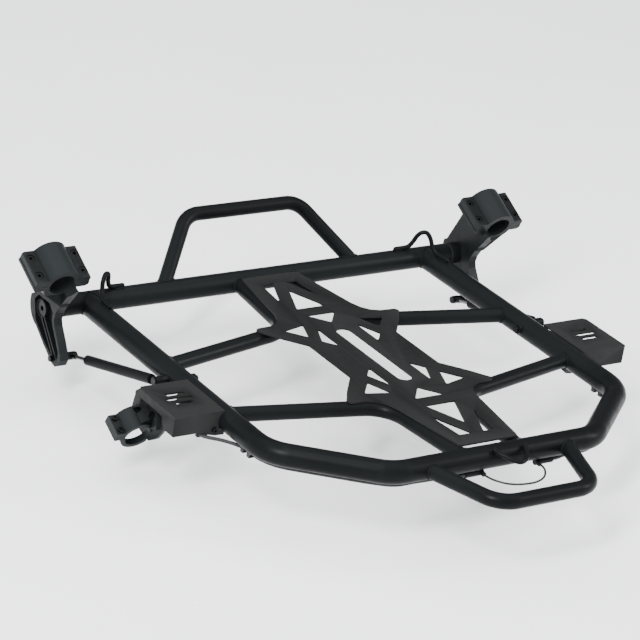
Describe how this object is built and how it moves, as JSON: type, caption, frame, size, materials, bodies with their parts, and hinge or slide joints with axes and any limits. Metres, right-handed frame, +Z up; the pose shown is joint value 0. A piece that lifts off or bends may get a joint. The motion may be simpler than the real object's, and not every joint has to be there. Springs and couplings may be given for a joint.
{
  "type": "hitch cargo carrier",
  "caption": "Tilting tubular cargo rack with a slotted centre plate, cage clamps on hinge arms, gas struts, latch boxes with a cable release, a rear hoop and a pull handle.",
  "frame": {"origin": "middle of the hinge axis, which is the centre line of the back cross tube", "axes": "+X across the vehicle to the right clamp, -Y towards the free end with the pull handle, +Z up"},
  "size_m": [0.996, 0.9404, 0.2246],
  "materials": {
    "powder_coat": "satin powder coat",
    "plate_coat": "matte powder coat",
    "cast_coat": "satin coat on cast metal",
    "strut_coat": "satin",
    "dark_steel": "black oxide",
    "rod_steel": "ground",
    "black_plastic": "matte"
  },
  "bodies": {
    "root": {"hinge_arm_left": "cast_coat", "hinge_arm_right": "cast_coat", "clamp_cap_left": "cast_coat", "clamp_cap_right": "cast_coat", "clamp_screws": "dark_steel", "hinge_bushes": "black_plastic", "stud_nuts": "dark_steel", "latch_clamp_left": "cast_coat", "latch_clamp_right": "cast_coat", "latch_strap_left": "cast_coat", "latch_strap_right": "cast_coat", "latch_clamp_screws": "dark_steel", "striker_plate_left": "cast_coat", "striker_plate_right": "cast_coat", "striker_pin_left": "rod_steel", "striker_pin_right": "rod_steel", "striker_screws": "dark_steel"},
    "rack": {"back_tube": "powder_coat", "rail_left": "powder_coat", "rail_right": "powder_coat", "front_tube": "powder_coat", "rear_hoop": "powder_coat", "front_handle": "powder_coat", "brace_back_left": "powder_coat", "brace_back_right": "powder_coat", "brace_front_left": "powder_coat", "brace_front_right": "powder_coat", "centre_plate": "plate_coat", "corner_hook_left": "powder_coat", "corner_hook_right": "powder_coat", "front_tie_loop": "powder_coat", "tube_plugs": "dark_steel", "pivot_bolts": "dark_steel", "latch_box_left": "plate_coat", "latch_box_right": "plate_coat", "box_screws": "dark_steel", "latch_bracket_left": "dark_steel", "latch_bracket_right": "dark_steel", "hook_pins": "rod_steel", "hook_springs": "rod_steel", "cable_guides": "cast_coat", "cable_housing_left": "black_plastic", "cable_housing_right": "black_plastic", "cable_clips": "black_plastic", "rail_studs": "dark_steel", "rail_nuts": "powder_coat"},
    "hook_left": {"latch_hook_left": "dark_steel"},
    "hook_right": {"latch_hook_right": "dark_steel"},
    "release": {"release_loop": "black_plastic", "cable_ends": "rod_steel"},
    "strut_left": {"strut_barrel_left": "strut_coat"},
    "strut_right": {"strut_barrel_right": "strut_coat"},
    "piston_left": {"strut_rod_left": "rod_steel", "strut_socket_left": "dark_steel", "strut_stud_left": "dark_steel"},
    "piston_right": {"strut_rod_right": "rod_steel", "strut_socket_right": "dark_steel", "strut_stud_right": "dark_steel"}
  },
  "joints": [
    {"name": "rack_lift", "type": "hinge", "parent": "root", "child": "rack", "pos_m": [0, 0, 0], "axis": [-1, 0, 0], "range_deg": [0, 60]},
    {"name": "latch_left", "type": "hinge", "parent": "rack", "child": "hook_left", "pos_m": [-0.389, -0.39, -0.002], "axis": [1, 0, 0], "range_deg": [0, 30]},
    {"name": "latch_right", "type": "hinge", "parent": "rack", "child": "hook_right", "pos_m": [0.389, -0.39, -0.002], "axis": [1, 0, 0], "range_deg": [0, 30]},
    {"name": "release_pull", "type": "slide", "parent": "rack", "child": "release", "axis": [0, 1, 0], "range_m": [0, 0.012], "deforming": ["release_loop", "cable_ends"]},
    {"name": "strut_swing_right", "type": "hinge", "parent": "rack", "child": "strut_right", "pos_m": [0.386, -0.296, -0.001], "axis": [1, 0, 0], "range_deg": [0, 2.5]},
    {"name": "strut_stroke_right", "type": "slide", "parent": "strut_right", "child": "piston_right", "axis": [0.047, 0.9628, -0.2661], "range_m": [0, 0.086]},
    {"name": "strut_swing_left", "type": "hinge", "parent": "rack", "child": "strut_left", "pos_m": [-0.386, -0.296, -0.001], "axis": [1, 0, 0], "range_deg": [0, 2.5]},
    {"name": "strut_stroke_left", "type": "slide", "parent": "strut_left", "child": "piston_left", "axis": [-0.047, 0.9628, -0.2661], "range_m": [0, 0.086]}
  ],
  "couplings": [
    {"joint": "latch_right", "follows": "latch_left", "ratio": 1},
    {"joint": "release_pull", "follows": "latch_left", "m_per_rad": 0.022},
    {"joint": "strut_swing_right", "follows": "rack_lift", "ratio": 0.03967},
    {"joint": "strut_stroke_right", "follows": "rack_lift", "m_per_rad": 0.08046},
    {"joint": "strut_swing_left", "follows": "rack_lift", "ratio": 0.03967},
    {"joint": "strut_stroke_left", "follows": "rack_lift", "m_per_rad": 0.08046}
  ]
}
